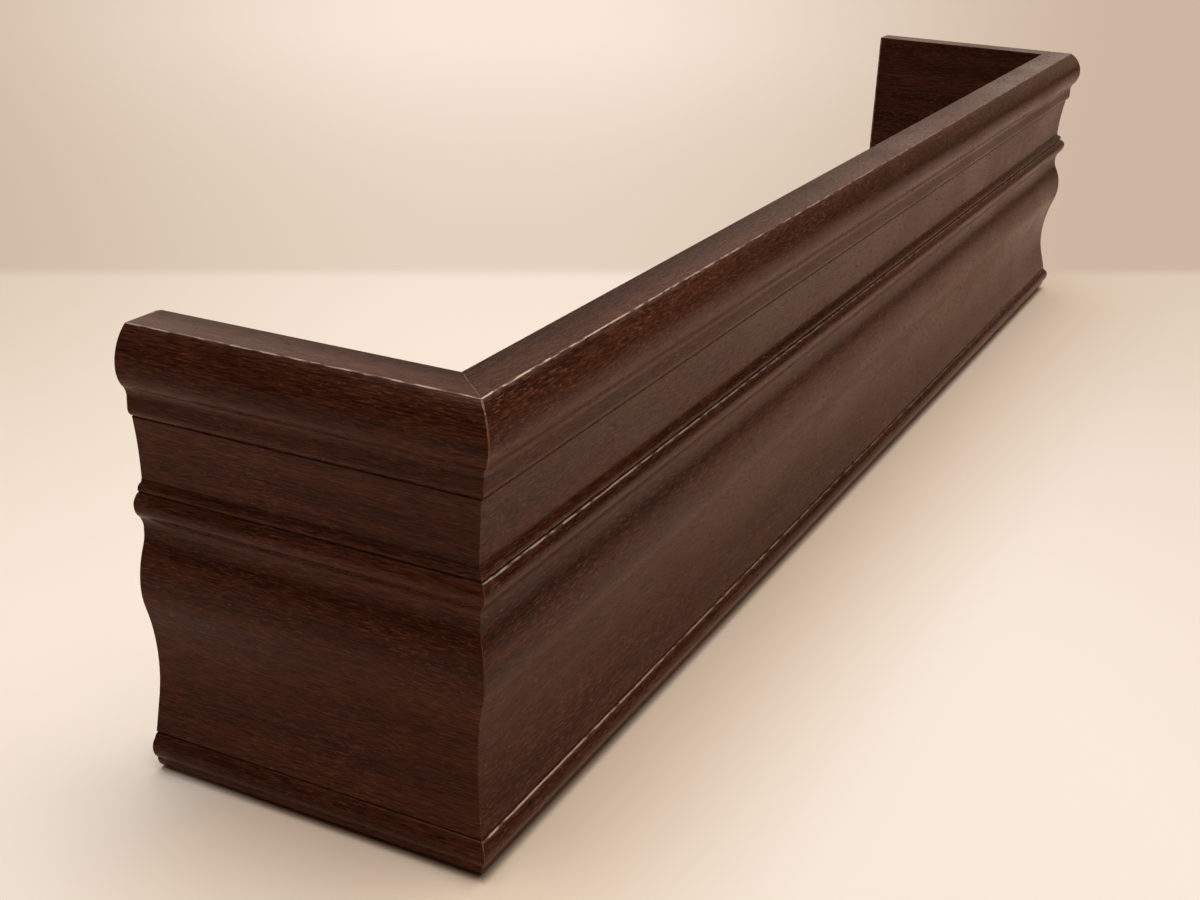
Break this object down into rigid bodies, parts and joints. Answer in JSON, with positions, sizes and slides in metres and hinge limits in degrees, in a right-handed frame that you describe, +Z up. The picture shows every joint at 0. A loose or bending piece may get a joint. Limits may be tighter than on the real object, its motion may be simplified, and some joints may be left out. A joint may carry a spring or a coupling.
{
  "type": "wooden curtain pelmet",
  "caption": "Stained hardwood box pelmet: a moulded front board mitred to two short returns, open at the top, the bottom and the wall side.",
  "frame": {"origin": "middle of the footprint, on the plane that the boards' lower edges stand on", "axes": "+X along the front to the viewer's right, +Y from the moulded front to the wall, +Z up"},
  "size_m": [0.93, 0.1574, 0.19],
  "materials": {
    "stained_front": "dark chocolate stain, satin lacquer",
    "stained_return": "dark chocolate stain, satin lacquer",
    "biscuit_beech": "bare compressed beech"
  },
  "bodies": {
    "root": {"front_board": "stained_front", "left_return": "stained_return", "right_return": "stained_return", "left_biscuit_upper": "biscuit_beech", "left_biscuit_lower": "biscuit_beech", "right_biscuit_upper": "biscuit_beech", "right_biscuit_lower": "biscuit_beech"}
  },
  "joints": []
}
